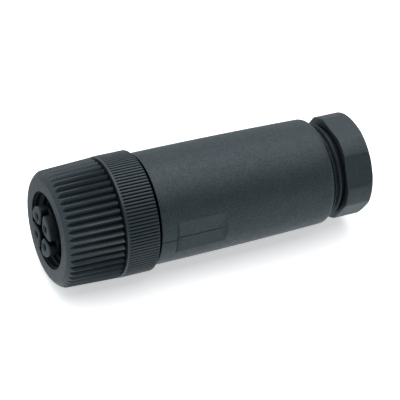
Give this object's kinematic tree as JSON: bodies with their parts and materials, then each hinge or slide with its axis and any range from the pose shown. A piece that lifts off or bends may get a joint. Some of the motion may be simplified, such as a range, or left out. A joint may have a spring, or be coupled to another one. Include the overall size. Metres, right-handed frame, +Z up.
{
  "type": "circular connector",
  "caption": "Straight round cable connector with a fluted screw-locking nut, socket contacts, a knurled ring, a tapered sleeve housing and a hexagonal cable gland.",
  "frame": {"origin": "on the axis, at the centre of the contact face that mates with the other half", "axes": "+X along the axis from the contact face to the cable entry, +Z up with the part lying on its side"},
  "size_m": [0.0561, 0.0202, 0.0202],
  "materials": {
    "nut_plastic": "smooth satin moulding",
    "carrier_plastic": "smooth satin moulding",
    "ring_plastic": "smooth satin moulding",
    "housing_plastic": "fine spark-eroded grain",
    "gland_plastic": "smooth satin moulding",
    "cage_plastic": "smooth",
    "seal_rubber": "matt rubber",
    "contact_brass": "gold flash",
    "screw_steel": "zinc plated"
  },
  "bodies": {
    "connector": {"contact_carrier": "carrier_plastic", "knurled_ring": "ring_plastic", "contact_1": "contact_brass", "contact_2": "contact_brass", "contact_3": "contact_brass", "contact_4": "contact_brass", "terminal_screws": "screw_steel", "face_seal": "seal_rubber", "body_seal": "seal_rubber", "housing": "housing_plastic", "cable_seal": "seal_rubber"},
    "coupling_nut": {"coupling_nut": "nut_plastic"},
    "clamping_cage": {"clamping_cage": "cage_plastic"},
    "pressing_screw": {"pressing_screw": "gland_plastic"}
  },
  "joints": [
    {"name": "coupling_nut_turn", "type": "hinge", "parent": "connector", "child": "coupling_nut", "pos_m": [0.0057, 0, 0], "axis": [1, 0, 0], "continuous": true},
    {"name": "gland_advance", "type": "slide", "parent": "connector", "child": "clamping_cage", "axis": [1, 0, 0], "range_m": [-0.0017, 0.005]},
    {"name": "pressing_screw_turn", "type": "hinge", "parent": "clamping_cage", "child": "pressing_screw", "pos_m": [0.0536, 0, 0], "axis": [1, 0, 0], "range_deg": [-612.1, 1800.1]}
  ],
  "couplings": [
    {"joint": "pressing_screw_turn", "follows": "gland_advance", "rad_per_m": 6283.2}
  ]
}
